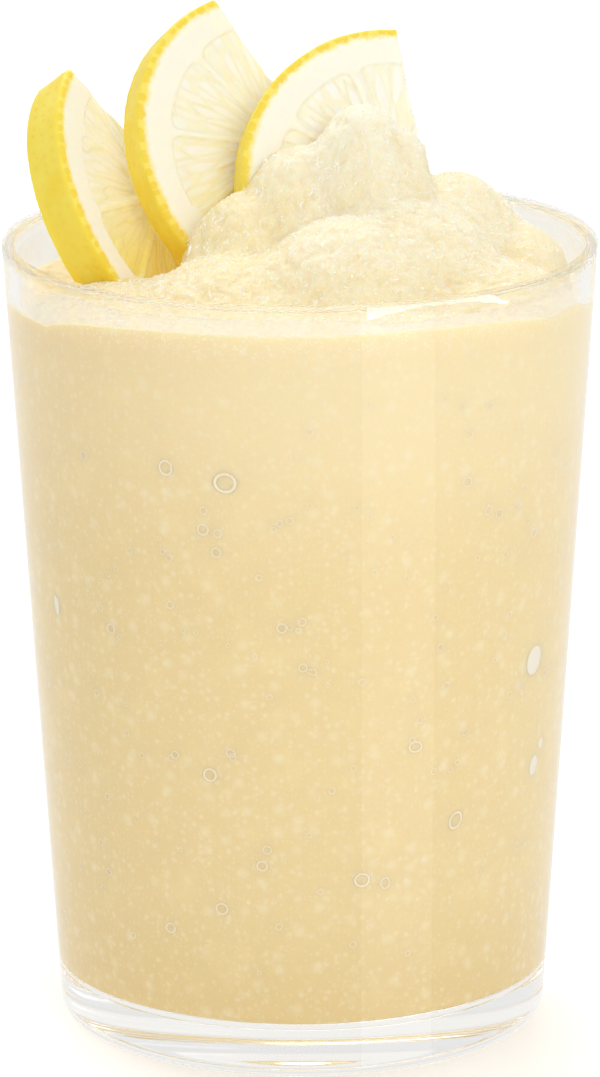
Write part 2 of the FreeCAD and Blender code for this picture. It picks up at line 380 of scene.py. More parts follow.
def inner_radius(z):
    """Inside radius of the glass at height z."""
    share = (z - FLOOR_HEIGHT) / (GLASS_HEIGHT - FLOOR_HEIGHT)
    return outer_radius(z) - (FLOOR_WALL + (RIM_WALL - FLOOR_WALL) * share)


def wall_at(z):
    """Inside radius of the glass at height z, both in metres."""
    return inner_radius(z / MM) * MM


def heap_height(x, y):
    """Top of the granita at (x, y): the spoonfuls blended into one surface."""
    total = np.ones_like(x)
    for lump in HEAP:
        total += np.exp(lump.height(x, y) / BLEND) - 1.0
    return GLASS_HEIGHT - FILL_DROP + BLEND * np.log(total)


def smooth_step(low, high, value):
    """0 below low, 1 above high and a smooth rise between."""
    share = np.clip((value - low) / (high - low), 0.0, 1.0)
    return share * share * (3 - 2 * share)


# ---- Modelling ----
def deselect():
    bpy.ops.object.select_all(action="DESELECT")


def edit_all():
    """Edit mode with every vertex selected."""
    bpy.ops.object.mode_set(mode="EDIT")
    bpy.ops.mesh.select_mode(type="VERT")
    bpy.ops.mesh.select_all(action="SELECT")


def leave_edit():
    bpy.ops.object.mode_set(mode="OBJECT")


def to_triangles():
    """Splits every face of the piece just made, so that its copies can be listed together."""
    edit_all()
    bpy.ops.mesh.quads_convert_to_tris()
    leave_edit()


def smooth(*pieces, angle=None):
    """Shades pieces smooth, all over or where faces meet at less than the angle."""
    for piece in pieces:
        piece.select_set(True)
    bpy.context.view_layer.objects.active = pieces[0]
    if angle is None:
        bpy.ops.object.shade_smooth()
    else:
        bpy.ops.object.shade_smooth_by_angle(angle=angle)


def named(name):
    """The object just added, with its name."""
    piece = bpy.context.active_object
    piece.name = name
    piece.data.name = name
    return piece


def arc(start, middle, end, steps):
    """Points from start to end on the circle through middle, without start."""
    (ax, ay), (bx, by), (cx, cy) = start, middle, end
    d = 2 * (ax * (by - cy) + bx * (cy - ay) + cx * (ay - by))
    a, b, c = ax * ax + ay * ay, bx * bx + by * by, cx * cx + cy * cy
    x = (a * (by - cy) + b * (cy - ay) + c * (ay - by)) / d
    y = (a * (cx - bx) + b * (ax - cx) + c * (bx - ax)) / d
    radius = math.hypot(ax - x, ay - y)
    first = math.atan2(ay - y, ax - x)
    sweep = (math.atan2(cy - y, cx - x) - first + math.pi) % (2 * math.pi) - math.pi
    angles = [first + sweep * (n + 1) / steps for n in range(steps)]
    return [(x + radius * math.cos(t), y + radius * math.sin(t)) for t in angles]


def lathe(name, profile, steps):
    """Turns a profile of (radius, height) points round the upright axis."""
    deselect()
    bpy.ops.mesh.primitive_plane_add(size=10 * MM)
    edit_all()
    bpy.ops.mesh.merge(type="CENTER")
    place = Vector((0, 0, 0))
    for number, (radius, height) in enumerate(profile):
        step = Vector((radius, 0, height)) - place
        if number == 0:
            bpy.ops.transform.translate(value=step)
        else:
            bpy.ops.mesh.extrude_region_move(TRANSFORM_OT_translate={"value": step})
        place += step
    bpy.ops.mesh.select_all(action="SELECT")
    bpy.ops.mesh.spin(steps=steps, angle=2 * math.pi, center=(0, 0, 0), axis=(0, 0, 1))
    bpy.ops.mesh.select_all(action="SELECT")
    bpy.ops.mesh.remove_doubles(threshold=0.001 * MM)
    bpy.ops.mesh.normals_make_consistent(inside=False)
    leave_edit()
    bpy.ops.object.shade_smooth()
    return named(name)


def points_of(piece):
    """The piece's vertices as rows of x, y, z."""
    flat = np.zeros(3 * len(piece.data.vertices))
    piece.data.vertices.foreach_get("co", flat)
    return flat.reshape(-1, 3)


def move_points(piece, points):
    piece.data.vertices.foreach_set("co", np.ascontiguousarray(points, float).ravel())
    piece.data.update()


def normals_of(piece):
    flat = np.zeros(3 * len(piece.data.vertices))
    piece.data.vertex_normals.foreach_get("vector", flat)
    return flat.reshape(-1, 3)


def store(piece, name, values):
    """Keeps three values a vertex on the piece, for its material."""
    attribute = piece.data.attributes.new(name, "FLOAT_VECTOR", "POINT")
    attribute.data.foreach_set("vector", np.ascontiguousarray(values, float).ravel())


def displace(piece, name, size, relief, depth, group):
    """Raises and lowers the surface by clouds of that size, and applies it."""
    texture = bpy.data.textures.new(name, "CLOUDS")
    texture.noise_scale = size
    texture.noise_depth = depth
    modifier = piece.modifiers.new(name, "DISPLACE")
    modifier.texture = texture
    modifier.texture_coords = "LOCAL"
    modifier.direction = "NORMAL"
    modifier.mid_level = 0.5
    modifier.strength = relief
    modifier.vertex_group = group
    bpy.context.view_layer.objects.active = piece
    bpy.ops.object.modifier_apply(modifier=modifier.name)


def scatter(name, pattern, places, turns, sizes):
    """One mesh with a copy of the pattern at every place, turned and sized in turn."""
    shape = points_of(pattern)
    faces = np.array([tuple(face.vertices) for face in pattern.data.polygons])
    count = len(places)
    sized = shape[None, :, :] * sizes[:, None, :]
    turned = np.einsum("kij,knj->kni", turns, sized) + places[:, None, :]
    offsets = (np.arange(count) * len(shape))[:, None, None]
    mesh = bpy.data.meshes.new(name)
    mesh.from_pydata(turned.reshape(-1, 3), [], (faces[None] + offsets).reshape(-1, faces.shape[1]).tolist())
    mesh.update()
    piece = bpy.data.objects.new(name, mesh)
    bpy.context.scene.collection.objects.link(piece)
    bpy.data.objects.remove(pattern)
    return piece


def finish_piece(piece, material):
    """Gives a piece its finish and puts it on the body."""
    piece.data.materials.clear()
    piece.data.materials.append(material)
    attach(piece, "root")


# ---- Finishes ----
class Finish:
    """A material being made: each call adds a node and gives back its output."""

    def __init__(self, name):
        self.material = bpy.data.materials.new(name)
        self.material.use_nodes = True
        self.tree = self.material.node_tree
        self.tree.nodes.clear()

    def node(self, kind, sockets=None, **settings):
        made = self.tree.nodes.new(kind)
        for key, value in settings.items():
            setattr(made, key, value)
        for key, value in (sockets or {}).items():
            self.put(made.inputs[key], value)
        return made

    def put(self, socket, value):
        """Links a node's output to the socket, or writes a plain value on it."""
        if isinstance(value, bpy.types.NodeSocket):
            self.tree.links.new(value, socket)
        elif socket.type == "RGBA":
            socket.default_value = (*value[:3], 1.0)
        else:
            socket.default_value = value

    def place(self):
        return self.node("ShaderNodeTexCoord").outputs["Object"]

    def along(self, axis):
        """The place on the piece along one axis, in metres."""
        return self.node("ShaderNodeSeparateXYZ", {"Vector": self.place()}).outputs[axis]

    def stored(self, name):
        """The three values kept on the piece under that name."""
        made = self.node("ShaderNodeAttribute", attribute_name=name)
        parts = self.node("ShaderNodeSeparateXYZ", {"Vector": made.outputs["Vector"]})
        return parts.outputs["X"], parts.outputs["Y"], parts.outputs["Z"]

    def noise(self, size, detail=2.0, roughness=0.5):
        """Soft mottling, 0 to 1, with patches about size across."""
        sockets = {"Vector": self.place(), "Scale": 1.0 / size, "Detail": detail, "Roughness": roughness}
        return self.node("ShaderNodeTexNoise", sockets).outputs["Fac"]

    def cells(self, size):
        """Distance from the middle of the nearest cell, in cells, and a random number for each."""
        made = self.node("ShaderNodeTexVoronoi", {"Vector": self.place(), "Scale": 1.0 / size})
        random = self.node("ShaderNodeSeparateColor", {"Color": made.outputs["Color"]}).outputs["Red"]
        return made.outputs["Distance"], random

    def rise(self, value, low, high, start=0.0, end=1.0):
        """Smoothly from start to end as the value goes from low to high."""
        made = self.node("ShaderNodeMapRange", {"Value": value}, interpolation_type="SMOOTHSTEP")
        for key, number in (("From Min", low), ("From Max", high), ("To Min", start), ("To Max", end)):
            made.inputs[key].default_value = number
        return made.outputs["Result"]

    def sum(self, first, second, operation="ADD"):
        made = self.node("ShaderNodeMath", operation=operation)
        self.put(made.inputs[0], first)
        self.put(made.inputs[1], second)
        return made.outputs["Value"]

    def times(self, first, second):
        return self.sum(first, second, "MULTIPLY")

    def blend(self, share, first, second):
        """Colour first turning into colour second."""
        made = self.node("ShaderNodeMix", data_type="RGBA")
        self.put(made.inputs[0], share)
        self.put(made.inputs[6], first)
        self.put(made.inputs[7], second)
        return made.outputs[2]

    def bump(self, height, distance, strength=1.0, onto=None):
        sockets = {"Height": height, "Distance": distance, "Strength": strength}
        made = self.node("ShaderNodeBump", sockets)
        if onto is not None:
            self.put(made.inputs["Normal"], onto)
        return made.outputs["Normal"]

    def principled(self, sockets):
        return self.node("ShaderNodeBsdfPrincipled", sockets).outputs["BSDF"]

    def clear(self):
        """Lets everything through, straight on."""
        return self.node("ShaderNodeBsdfTransparent").outputs["BSDF"]

    def glow(self, strength, colour=(1, 1, 1)):
        return self.node("ShaderNodeEmission", {"Color": colour, "Strength": strength}).outputs["Emission"]

    def rays(self):
        """What kind of ray looks at the surface, as 0 or 1 by kind."""
        return self.node("ShaderNodeLightPath").outputs

    def output(self, shader):
        self.node("ShaderNodeOutputMaterial", {"Surface": shader})

    def output_lit_through(self, shader):
        """Puts on the output a shader that neither shades nor tints what lies behind it."""
        through = self.clear()
        rays = self.rays()
        lit = self.mix_shader(rays["Is Diffuse Ray"], shader, through)
        self.output(self.mix_shader(rays["Is Shadow Ray"], lit, through))

    def mix_shader(self, share, first, second):
        made = self.node("ShaderNodeMixShader")
        self.put(made.inputs[0], share)
        self.put(made.inputs[1], first)
        self.put(made.inputs[2], second)
        return made.outputs[0]


def clear_glass(settings):
    """Faintly rippled glass that lets the lamps through to what it holds.

    The lip also shows part of what lies straight behind it, and its very edge is painted pale: a painted
    highlight in place of the lip's reflections.
    """
    finish = Finish("clear glass")
    shader = finish.principled({
        "Base Color": settings.colour,
        "Roughness": 0.0,
        "IOR": 1.5,
        "Transmission Weight": 1.0,
        "Normal": finish.bump(finish.noise(12 * MM, 1.0), 0.004 * MM),
    })
    up = finish.along("Z")
    lip = settings.height - 1.5 * MM
    # Painted highlight: a pale matt share on the very edge of the lip stands in for its reflections.
    pale = finish.node("ShaderNodeBsdfDiffuse", {"Color": (0.95, 0.95, 0.94)}).outputs["BSDF"]
    edge = finish.mix_shader(finish.rise(up, lip + 0.5 * MM, lip + 1.3 * MM, 0.0, 0.75), finish.clear(), pale)
    shader = finish.mix_shader(finish.rise(up, lip - 1.5 * MM, lip + MM, 0.0, 0.75), shader, edge)
    finish.output_lit_through(shader)
    return finish.material


# width in millimetres, share of the cells that hold a bubble, how far it pales the ice
BUBBLE_CLOUDS = ((1.3, 0.5, 0.5), (0.7, 0.5, 0.4), (2.7, 0.45, 0.5), (0.45, 0.2, 0.35))


def granita_ice(settings):
    """Fine wet ice: paler where it has drained; yellower in the hollows and darker low in the glass, partly
    juice and partly painted shade; darker and yellower on the left, as painted shade; white flecks, partly
    crystals and partly painted glints.
    """
    finish = Finish("granita")
    raised, height, film = finish.stored("relief")
    patches = finish.noise(7 * MM, 3.0, 0.6)
    # Darker low in the glass, partly juice and partly painted shade; darker towards the left, painted shade
    # away from the softbox.
    body = finish.blend(finish.rise(height, 72.0, 108.0), settings.deep, settings.body)
    body = finish.blend(finish.rise(height, 30.0, 6.0, 0.0, 0.6), body, settings.settled_juice_and_shade)
    across = finish.along("X")
    body = finish.blend(finish.rise(across, 4 * MM, -40 * MM, 0.0, 0.4), body, settings.settled_juice_and_shade)
    drained = finish.rise(height, OPEN_FROM, OPEN_FROM + 14.0)
    body = finish.blend(finish.times(drained, 0.85), body, settings.pale)
    body = finish.blend(finish.rise(height, 128.0, 144.0, 0.0, 0.7), body, settings.crest)
    # Yellower in the hollows: partly syrup, partly painted shade in the recesses.
    hollow = finish.rise(raised, 0.25, -1.1)
    body = finish.blend(finish.times(hollow, 0.85), body, settings.syrup_and_shade)
    # Painted shade: the left of the open heap, below its top, is painted yellower, away from the softbox.
    left = finish.rise(across, 4 * MM, -10 * MM)
    left_shade = finish.times(left, finish.times(drained, finish.rise(height, 140.0, 126.0)))
    body = finish.blend(finish.times(left_shade, 0.6), body, settings.syrup_and_shade)
    body = finish.blend(finish.times(finish.rise(patches, 0.5, 0.75), 0.35), body, settings.syrup_and_shade)
    for size, share, strength in BUBBLE_CLOUDS:
        distance, random = finish.cells(size * MM)
        spot = finish.rise(distance, 0.5, 0.0)
        chosen = finish.rise(random, 1.0 - share, 1.02 - share)
        body = finish.blend(finish.times(finish.times(spot, chosen), strength), body, settings.bubble)
    # White flecks on the open heap: partly pale crystals, partly painted glints.
    distance, random = finish.cells(0.45 * MM)
    chosen = finish.times(finish.rise(random, 0.5, 0.6), finish.rise(distance, 0.5, 0.2))
    chosen = finish.times(chosen, finish.rise(height, OPEN_FROM, OPEN_FROM + 2.0))
    body = finish.blend(finish.times(chosen, 0.45), body, settings.crystal_and_glint)
    body = finish.blend(finish.times(film, 0.8), body, settings.film)
    stain, _, _ = finish.stored("lemon")
    seep = finish.times(stain, finish.rise(finish.noise(1.6 * MM, 3.0, 0.6), 0.3, 0.62))
    body = finish.blend(seep, body, settings.lemon)
    fine = finish.bump(finish.noise(0.36 * MM, 2.0, 0.6), 0.1 * MM, 0.6)
    finish.output(finish.principled({
        "Base Color": body,
        "Roughness": finish.rise(finish.noise(0.6 * MM), 0.35, 0.65, 0.32, 0.6),
        "Normal": finish.bump(finish.noise(1.6 * MM, 2.0), 0.15 * MM, 0.5, fine),
        "Subsurface Weight": 0.8,
        "Subsurface Radius": (1.0, 0.8, 0.5),
        "Subsurface Scale": 2.4 * MM,
        "IOR": 1.33,
    }))
    return finish.material


def ice_and_painted_glints(settings):
    """Small crystals of wet ice, white on top and lit from the granita under them; their white is partly a
    painted highlight, standing in for glints.
    """
    finish = Finish("ice crystals")
    tone = finish.rise(finish.noise(1.3 * MM), 0.3, 0.7, 0.0, 0.5)
    ice = finish.principled({
        "Base Color": finish.blend(tone, settings.colour, settings.wet_colour),
        "Roughness": 0.15,
        "Normal": finish.bump(finish.noise(0.3 * MM), 0.01 * MM),
        "IOR": 1.33,
    })
    finish.output_lit_through(ice)
    return finish.material


def melt(settings):
    """A cloudy film, more or less clear from place to place."""
    finish = Finish("melt on the wall")
    share = settings.share
    cloudy = finish.rise(finish.noise(5 * MM, 2.0), 0.3, 0.7, share - 0.08, share + 0.08)
    film = finish.principled({
        "Base Color": finish.blend(finish.noise(6 * MM), settings.colour, (0.98, 0.93, 0.82)),
        "Roughness": 0.35,
        "Alpha": finish.times(cloudy, finish.rise(finish.along("Y"), 15 * MM, -15 * MM, 0.15, 1.0)),
        "IOR": 1.33,
    })
    finish.output_lit_through(film)
    return finish.material


def air(name, colour):
    """Air against the wall, seen as a pale shape."""
    finish = Finish(name)
    tone = finish.rise(finish.noise(0.8 * MM), 0.2, 0.8, 0.0, 0.35)
    finish.output(finish.principled({
        "Base Color": finish.blend(tone, colour, (0.88, 0.76, 0.5)),
        "Roughness": 0.35,
        "Normal": finish.bump(finish.noise(0.5 * MM), 0.03 * MM),
    }))
    return finish.material


def lemon_fruit(settings):
    """Skin, cut peel with its oil glands, pith and juice vesicles of a lemon slice."""
    finish = Finish("lemon")
    gland, flesh, bulge = finish.stored("parts")
    depth, tone, skin = finish.stored("cut")
    skin_tone = finish.rise(finish.noise(5 * MM, 3.0), 0.3, 0.75)
    skin_colour = finish.blend(skin_tone, settings.skin, settings.skin_light)
    skin_colour = finish.blend(finish.times(gland, 0.25), skin_colour, settings.gland)
    peel = finish.blend(finish.rise(gland, 0.25, 0.75), settings.peel, settings.gland)
    fray = finish.sum(depth, finish.times(finish.sum(finish.noise(1.1 * MM, 3.0), -0.5), 1.5))
    white = finish.rise(fray, 0.9, 2.0)
    rim = finish.rise(depth, 0.35, 0.12)
    section = finish.blend(white, peel, settings.pith)
    section = finish.blend(rim, section, skin_colour)
    pulp = finish.blend(finish.rise(bulge, 0.1, 0.75), settings.flesh_deep, settings.flesh)
    pulp = finish.blend(finish.times(tone, 0.5), pulp, settings.flesh_deep)
    up = finish.along("Z")
    # Partly juice, partly painted shade: flesh and pith low on the slices, by the granita, are painted
    # yellower.
    pulp = finish.blend(finish.rise(up, 132 * MM, 115 * MM, 0.0, 0.95), pulp, settings.soaked_and_shaded)
    wet = finish.times(finish.rise(depth, 6.0, 9.0), finish.rise(up, 132 * MM, 116 * MM, 0.0, 0.9))
    section = finish.blend(wet, section, settings.soaked_and_shaded)
    cut = finish.blend(flesh, section, pulp)
    finish.output(finish.principled({
        "Base Color": finish.blend(skin, cut, skin_colour),
        "Roughness": finish.rise(flesh, 0.2, 0.8, 0.42, 0.16),
        "Normal": finish.bump(finish.noise(0.35 * MM, 2.0), 0.04 * MM, 0.6),
        "Subsurface Weight": 0.45,
        "Subsurface Radius": (1.0, 0.8, 0.35),
        "Subsurface Scale": 2.0 * MM,
        "IOR": 1.36,
    }))
    return finish.material


# ---- Pieces ----
def glass_profile(glass):
    """Half section of the tumbler, from under the middle of the base to its floor.

    Rings close beside each bend keep the shading of the straight parts straight.
    """

    def wall(z):
        return (glass.foot_radius + (glass.rim_radius - glass.foot_radius) * z / glass.height, z)

    def inside(z):
        return (wall_at(z), z)

    beside = 0.25 * MM
    heel = glass.heel_round
    foot = glass.foot_radius - heel
    ring = foot - glass.ring_width
    lip = glass.rim_wall / 2
    top = glass.height - lip
    floor = glass.floor
    bend = glass.floor_round
    corner = inside(floor)[0]
    punt_top = (0.0, glass.punt_depth)
    profile = [punt_top]
    profile += arc(punt_top, (ring * 0.6, glass.punt_depth * 0.75), (ring, 0.0), 16)
    profile += [(ring + beside, 0.0), (foot - beside, 0.0), (foot, 0.0)]
    profile += arc((foot, 0.0), (wall(heel)[0] - heel * DIAGONAL, heel * DIAGONAL), wall(heel), 12)
    profile += [wall(heel + beside)]
    profile += [wall(heel + (top - heel) * share) for share in (0.1, 0.3, 0.5, 0.7, 0.9)]
    profile += [wall(top - beside), wall(top)]
    crown = (wall(glass.height)[0] - lip, glass.height)
    profile += arc(wall(top), crown, (wall(top)[0] - glass.rim_wall, top), 16)
    profile += [inside(top - beside)]
    profile += [inside(floor + (top - floor) * share) for share in (0.9, 0.7, 0.5, 0.3, 0.1)]
    profile += [inside(floor + bend + beside), inside(floor + bend)]
    middle = (corner - bend * DIAGONAL, floor + bend * DIAGONAL)
    profile += arc(inside(floor + bend), middle, (corner - bend, floor), 12)
    profile += [(corner - bend - beside, floor), (corner * 0.5, floor), (0.0, floor)]
    return profile


class GRANITA_OT_glass(bpy.types.Operator):
    """Turn the glass tumbler"""

    bl_idname = "granita.glass"
    bl_label = "Glass"

    def execute(self, context):
        settings = context.scene.granita_glass
        piece = lathe("tumbler", glass_profile(settings), settings.steps)
        finish_piece(piece, clear_glass(settings))
        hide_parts("glass")
        return {"FINISHED"}


def disc_of(u, v):
    """Moves the points of a square, -1 to 1, to a disc of radius 1."""
    return u * np.sqrt(1 - v * v / 2), v * np.sqrt(1 - u * u / 2)


def spread_to_wall(grid, reach):
    """A square's points, -1 to 1, spread out to the wall of the glass, in millimetres."""
    x, y = disc_of(grid[:, 0], grid[:, 1])
    around = np.arctan2(y, x)
    wall = np.full_like(x, inner_radius(115.0))  # a first guess, near the lip
    for _ in range(4):
        wall = inner_radius(heap_height(wall * np.cos(around), wall * np.sin(around))) + reach
    return np.column_stack([x * wall, y * wall])


def even_out(points, turns):
    """Moves a net of points, rows by columns, until its threads over the heap are about equally long."""
    for _ in range(turns):
        place = np.dstack([points, heap_height(points[..., 0], points[..., 1])])
        pull = np.zeros_like(points)
        weight = np.zeros(points.shape[:2])
        for axis in (0, 1):
            for way in (-1, 1):
                step = np.roll(place, way, axis=axis) - place
                length = np.linalg.norm(step, axis=2)
                pull += step[..., :2] * length[..., None]
                weight += length
        points[1:-1, 1:-1] += NET_PULL * (pull / weight[..., None])[1:-1, 1:-1]
    return points


def heap_points(grid, reach):
    """The heap's points in millimetres, closer together in plan where it is steep.

    A coarse net is evened out first, and each point is then shifted as the net is round it.
    """
    threads = np.linspace(-1, 1, NET)
    net = spread_to_wall(np.array([(u, v) for v in threads for u in threads]), reach).reshape(NET, NET, 2)
    shift = even_out(net.copy(), NET_TURNS) - net
    column, row = np.clip((grid.T[:2] + 1) * (NET - 1) / 2, 0, NET - 1.0001)
    i, j = row.astype(int), column.astype(int)
    a, b = (row - i)[:, None], (column - j)[:, None]
    below = shift[i, j] * (1 - b) + shift[i, j + 1] * b
    above = shift[i + 1, j] * (1 - b) + shift[i + 1, j + 1] * b
    x, y = (spread_to_wall(grid, reach) + below * (1 - a) + above * a).T
    return np.column_stack([x, y, heap_height(x, y)])


def select_edge_loop(piece):
    """Selects the open edge of the surface."""
    shape = bmesh.from_edit_mesh(piece.data)
    for part in shape.edges:
        part.select_set(part.is_boundary)
    bmesh.update_edit_mesh(piece.data)


def carry_down(piece, radius, height):
    """Extrudes the selected loop down to a level ring of that radius and height."""
    bpy.ops.mesh.extrude_region_move(TRANSFORM_OT_translate={"value": (0, 0, -MM)})
    shape = bmesh.from_edit_mesh(piece.data)
    for point in shape.verts:
        if point.select:
            share = radius / math.hypot(point.co.x, point.co.y)
            point.co = Vector((point.co.x * share, point.co.y * share, height))
    bmesh.update_edit_mesh(piece.data)


class GRANITA_OT_granita(bpy.types.Operator):
    """Fill the glass with granita and heap it over the lip"""

    bl_idname = "granita.granita"
    bl_label = "Granita"

    def execute(self, context):
        settings = context.scene.granita_granita
        deselect()
        bpy.ops.mesh.primitive_grid_add(x_subdivisions=settings.cells, y_subdivisions=settings.cells, size=2)
        piece = named("granita_heap")
        move_points(piece, heap_points(points_of(piece), settings.wall_reach / MM) * MM)
        self.fill_down(piece, settings, context.scene.granita_glass)
        still = points_of(piece)
        self.roughen(piece, still, settings)
        bpy.ops.object.shade_smooth()
        self.keep_values(piece, still)
        finish_piece(piece, granita_ice(settings))
        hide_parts("granita")
        return {"FINISHED"}

    def fill_down(self, piece, settings, glass):
        """Carries the heap's edge down the wall and round the corner, and closes it on the floor."""
        bpy.ops.object.mode_set(mode="EDIT")
        bpy.ops.mesh.select_mode(type="EDGE")
        bpy.ops.mesh.select_all(action="DESELECT")
        select_edge_loop(piece)
        reach = settings.wall_reach
        bend = glass.floor_round
        floor = glass.floor + settings.floor_gap
        foot = (wall_at(floor + bend) + reach, floor + bend)
        corner = wall_at(floor)
        middle = (corner - bend * DIAGONAL, floor + bend * DIAGONAL)
        bpy.ops.mesh.extrude_region_move(TRANSFORM_OT_translate={"value": (0, 0, -0.4 * MM)})
        rings = [(wall_at(z * MM) + reach, z * MM) for z in (OPEN_FROM - 0.5, 60.0)]
        rings.append(foot)
        rings += arc(foot, middle, (corner - bend, floor), 5)
        for radius, z in rings:
            carry_down(piece, radius, z)
        bpy.ops.mesh.edge_face_add()
        bpy.ops.mesh.select_all(action="SELECT")
        bpy.ops.mesh.normals_make_consistent(inside=False)
        leave_edit()

    def roughen(self, piece, points, settings):
        """Lumps, crumbs and grains on the open surface, fading out at the wall."""
        room = wall_at(points[:, 2]) - np.hypot(points[:, 0], points[:, 1])
        open_top = smooth_step(0.0, 1.6 * MM, room) * (points[:, 2] > OPEN_FROM * MM)
        group = piece.vertex_groups.new(name="open top")
        for index in np.nonzero(open_top > 0)[0]:
            group.add([int(index)], float(open_top[index]), "REPLACE")
        for name, size, relief, depth in (
            ("lumps", settings.lump_size, settings.lump_relief, 2),
            ("crumbs", settings.crumb_size, settings.crumb_relief, 1),
            ("grains", settings.grain_size, settings.grain_relief, 0),
        ):
            displace(piece, name, size, relief, depth, "open top")

    def keep_values(self, piece, still):
        """Keeps how far the surface was raised, its height, the melt by the wall and the lemon's stain."""
        moved = points_of(piece)
        raised = ((moved - still) * normals_of(piece)).sum(axis=1)
        x, y, z = still.T / MM
        melted = smooth_step(7.0, 1.0, inner_radius(z) - np.hypot(x, y)) * (heap_height(x, y) - z < 0.2)
        store(piece, "relief", np.column_stack([raised / MM, moved[:, 2] / MM, melted]))
        stain = smooth_step(3.2, 0.2, beside_slices(moved)) * (moved[:, 2] > 0.1)
        store(piece, "lemon", np.column_stack([stain, stain, stain]))


def beside_slices(points):
    """How far points, in metres, lie outside the nearest lemon slice, in millimetres."""
    gap = np.full(len(points), 99.0)
    for cut in LEMON_SLICES:
        x, y, z = cut.local(points).T
        outside = np.maximum.reduce([np.hypot(x, y) - LEMON_RADIUS, x - CUT_OFFSET, z, -z - cut.thickness])
        gap = np.minimum(gap, outside)
    return gap


def random_turns(generator, count):
    """Random rotations, one for each copy."""
    q = generator.normal(size=(count, 4))
    q /= np.linalg.norm(q, axis=1)[:, None]
    w, x, y, z = q.T
    rows = [
        [1 - 2 * (y * y + z * z), 2 * (x * y - z * w), 2 * (x * z + y * w)],
        [2 * (x * y + z * w), 1 - 2 * (x * x + z * z), 2 * (y * z - x * w)],
        [2 * (x * z - y * w), 2 * (y * z + x * w), 1 - 2 * (x * x + y * y)],
    ]
    return np.array(rows).transpose(2, 0, 1)


def lying_turns(generator, normals):
    """Rotations that lay a copy flat on the surface, turned any way round."""
    count = len(normals)
    side = np.cross(normals, generator.normal(size=(count, 3)))
    side /= np.linalg.norm(side, axis=1)[:, None]
    return np.stack([side, np.cross(normals, side), normals], axis=2)


def heap_spots(generator, heap, count):
    """Places on the open heap, outside the lemon slices, with the surface's normals."""
    points = points_of(heap)
    normals = normals_of(heap)
    top = (points[:, 2] > STREWN_FROM * MM) & (normals[:, 2] > 0.02)
    room = wall_at(points[:, 2]) - np.hypot(points[:, 0], points[:, 1])
    top &= (points[:, 2] > GLASS_HEIGHT * MM) | (room > 0.8 * MM)
    top &= beside_slices(points) > 0.2
    near_wall = smooth_step(2.0 * MM, 9.0 * MM, room)
    share = np.where(top, 0.03 + 0.97 * near_wall, 0.0)
    chosen = generator.choice(len(points), size=count, replace=False, p=share / share.sum())
    return points[chosen], normals[chosen]


class GRANITA_OT_ice(bpy.types.Operator):
    """Strew loose grains and slivers of ice on the heap"""

    bl_idname = "granita.ice"
    bl_label = "Loose Ice"

    def execute(self, context):
        settings = context.scene.granita_ice
        heap = bpy.data.objects["granita_heap"]
        generator = np.random.default_rng(4)
        material = ice_and_painted_glints(settings)
        deselect()
        bpy.ops.mesh.primitive_ico_sphere_add(subdivisions=1, radius=0.5)
        grain = named("ice grain")
        spots, normals = heap_spots(generator, heap, settings.grains)
        width = settings.grain_size * generator.lognormal(0.0, 0.3, size=(settings.grains, 1))
        sizes = width * generator.uniform(0.6, 1.3, size=(settings.grains, 3))
        lift = normals * sizes.min(axis=1)[:, None] * 0.2
        grains = scatter("ice_grains", grain, spots + lift, random_turns(generator, settings.grains), sizes)
        finish_piece(grains, material)
        # The slivers are white, partly painted glints: bright curls of highlight on the wet ice.
        sliver = self.sliver()
        spots, normals = heap_spots(generator, heap, settings.slivers)
        length = settings.sliver_size * generator.lognormal(0.0, 0.32, size=(settings.slivers, 1))
        sizes = length * np.column_stack([
            generator.uniform(0.8, 1.2, settings.slivers),
            generator.uniform(0.5, 1.3, settings.slivers),
            generator.uniform(0.8, 1.1, settings.slivers),
        ])
        lift = normals * settings.sliver_size * 0.08
        slivers = scatter("ice_slivers", sliver, spots + lift, lying_turns(generator, normals), sizes)
        finish_piece(slivers, material)
        smooth(slivers, grains, angle=math.radians(40))
        return {"FINISHED"}

    def sliver(self):
        """A short curved splinter, one unit long, thinning at its ends."""
        deselect()
        bpy.ops.mesh.primitive_cylinder_add(vertices=5, radius=0.075, depth=1.0, rotation=(0, math.pi / 2, 0))
        bpy.ops.object.transform_apply(location=True, rotation=True, scale=True)
        edit_all()
        for place in (-0.3, 0.0, 0.3):
            bpy.ops.mesh.select_all(action="SELECT")
            bpy.ops.mesh.bisect(plane_co=(place, 0, 0), plane_no=(1, 0, 0))
        leave_edit()
        to_triangles()
        piece = named("ice sliver")
        points = points_of(piece)
        thin = 1 - 0.8 * np.abs(points[:, 0] / 0.5) ** 3
        points[:, 1:] *= thin[:, None]
        points[:, 1] += 0.28 * (1 - (points[:, 0] / 0.5) ** 2)
        move_points(piece, points)
        return piece


def wall_turns(bubbles):
    """Rotations that lay a bubble on the wall, its Y axis up the wall before its own lean."""
    flare = math.atan(inner_radius(1.0) - inner_radius(0.0))
    turns = []
    for bubble in bubbles:
        level = Vector((math.sin(bubble.around), -math.cos(bubble.around), 0))
        out = level * math.cos(flare) - Vector((0, 0, 1)) * math.sin(flare)
        climb = level * math.sin(flare) + Vector((0, 0, 1)) * math.cos(flare)
        side = climb.cross(out)
        up = climb * math.cos(bubble.lean) + side * math.sin(bubble.lean)
        turns.append(np.array([up.cross(out), up, out]).T)
    return np.array(turns)


def wall_places(bubbles, sink):
    """Points on the inside of the wall, that far in from it, in metres."""
    places = []
    for bubble in bubbles:
        radius = inner_radius(bubble.height) - sink
        places.append((radius * math.sin(bubble.around), -radius * math.cos(bubble.around), bubble.height))
    return np.array(places) * MM


